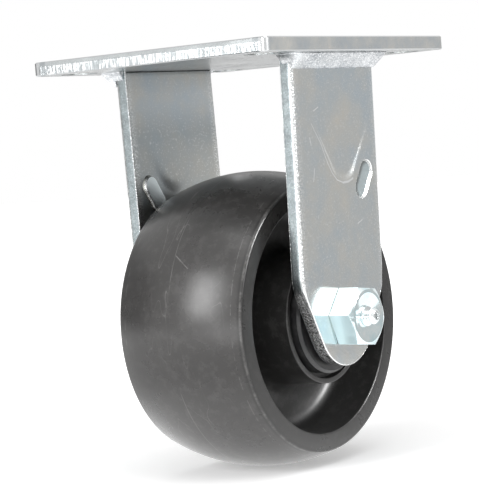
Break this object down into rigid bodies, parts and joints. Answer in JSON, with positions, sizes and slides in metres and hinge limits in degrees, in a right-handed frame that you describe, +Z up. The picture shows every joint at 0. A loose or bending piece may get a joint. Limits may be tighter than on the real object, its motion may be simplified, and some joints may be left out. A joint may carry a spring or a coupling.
{
  "type": "fixed castor",
  "caption": "Fixed castor: steel top plate, two welded legs and a crowned black plastic wheel turning on a greased roller bearing round an axle bolt.",
  "frame": {"origin": "centre of the top plate's upper, mounting face", "axes": "+X along the rolling direction, +Y along the axle from the bolt's head to its nut, +Z up through the mounting face"},
  "size_m": [0.106, 0.0965, 0.143],
  "materials": {
    "zinc_plated_steel": "bright zinc plate, semi-gloss",
    "plated_weld": "rippled weld bead under zinc plate",
    "black_moulded_plastic": "satin moulded, lightly turned tread",
    "black_retainer_plastic": "satin moulded",
    "bearing_steel": "ground",
    "cage_plastic": "moulded nylon",
    "nylon_insert": "nylon ring"
  },
  "bodies": {
    "frame": {"top_plate": "zinc_plated_steel", "leg_near": "zinc_plated_steel", "leg_far": "zinc_plated_steel", "weld_near": "plated_weld", "weld_far": "plated_weld", "spanner_bushing": "bearing_steel", "axle_bolt": "zinc_plated_steel", "grease_fitting": "zinc_plated_steel", "grease_spring": "bearing_steel", "axle_nut": "zinc_plated_steel", "nut_insert": "nylon_insert"},
    "wheel": {"wheel": "black_moulded_plastic", "retainer_near": "black_retainer_plastic", "retainer_far": "black_retainer_plastic"},
    "cage": {"bearing_cage": "cage_plastic"},
    "roller_1": {"roller_1": "bearing_steel"},
    "roller_2": {"roller_2": "bearing_steel"},
    "roller_3": {"roller_3": "bearing_steel"},
    "roller_4": {"roller_4": "bearing_steel"},
    "roller_5": {"roller_5": "bearing_steel"},
    "roller_6": {"roller_6": "bearing_steel"},
    "roller_7": {"roller_7": "bearing_steel"},
    "roller_8": {"roller_8": "bearing_steel"},
    "ball": {"grease_ball": "bearing_steel"}
  },
  "joints": [
    {"name": "wheel_spin", "type": "hinge", "parent": "frame", "child": "wheel", "pos_m": [0, 0.00055, -0.0924], "axis": [0, 1, 0], "continuous": true},
    {"name": "cage_turn", "type": "hinge", "parent": "frame", "child": "cage", "pos_m": [0, 0.00055, -0.0924], "axis": [0, 1, 0], "continuous": true},
    {"name": "roller_1_spin", "type": "hinge", "parent": "cage", "child": "roller_1", "pos_m": [0, 0.00055, -0.0801], "axis": [0, 1, 0], "continuous": true},
    {"name": "roller_2_spin", "type": "hinge", "parent": "cage", "child": "roller_2", "pos_m": [0.0087, 0.00055, -0.0837], "axis": [0, 1, 0], "continuous": true},
    {"name": "roller_3_spin", "type": "hinge", "parent": "cage", "child": "roller_3", "pos_m": [0.0123, 0.00055, -0.0924], "axis": [0, 1, 0], "continuous": true},
    {"name": "roller_4_spin", "type": "hinge", "parent": "cage", "child": "roller_4", "pos_m": [0.0087, 0.00055, -0.1011], "axis": [0, 1, 0], "continuous": true},
    {"name": "roller_5_spin", "type": "hinge", "parent": "cage", "child": "roller_5", "pos_m": [0, 0.00055, -0.1047], "axis": [0, 1, 0], "continuous": true},
    {"name": "roller_6_spin", "type": "hinge", "parent": "cage", "child": "roller_6", "pos_m": [-0.0087, 0.00055, -0.1011], "axis": [0, 1, 0], "continuous": true},
    {"name": "roller_7_spin", "type": "hinge", "parent": "cage", "child": "roller_7", "pos_m": [-0.0123, 0.00055, -0.0924], "axis": [0, 1, 0], "continuous": true},
    {"name": "roller_8_spin", "type": "hinge", "parent": "cage", "child": "roller_8", "pos_m": [-0.0087, 0.00055, -0.0837], "axis": [0, 1, 0], "continuous": true},
    {"name": "ball_press", "type": "slide", "parent": "frame", "child": "ball", "axis": [0, 1, 0], "range_m": [0, 0.0008], "stiffness_N_per_m": 300, "springref_m": -0.002, "deforming": ["grease_spring"]}
  ],
  "couplings": [
    {"joint": "cage_turn", "follows": "wheel_spin", "ratio": 0.61288},
    {"joint": "roller_1_spin", "follows": "wheel_spin", "ratio": 2.1247},
    {"joint": "roller_2_spin", "follows": "wheel_spin", "ratio": 2.1247},
    {"joint": "roller_3_spin", "follows": "wheel_spin", "ratio": 2.1247},
    {"joint": "roller_4_spin", "follows": "wheel_spin", "ratio": 2.1247},
    {"joint": "roller_5_spin", "follows": "wheel_spin", "ratio": 2.1247},
    {"joint": "roller_6_spin", "follows": "wheel_spin", "ratio": 2.1247},
    {"joint": "roller_7_spin", "follows": "wheel_spin", "ratio": 2.1247},
    {"joint": "roller_8_spin", "follows": "wheel_spin", "ratio": 2.1247}
  ]
}
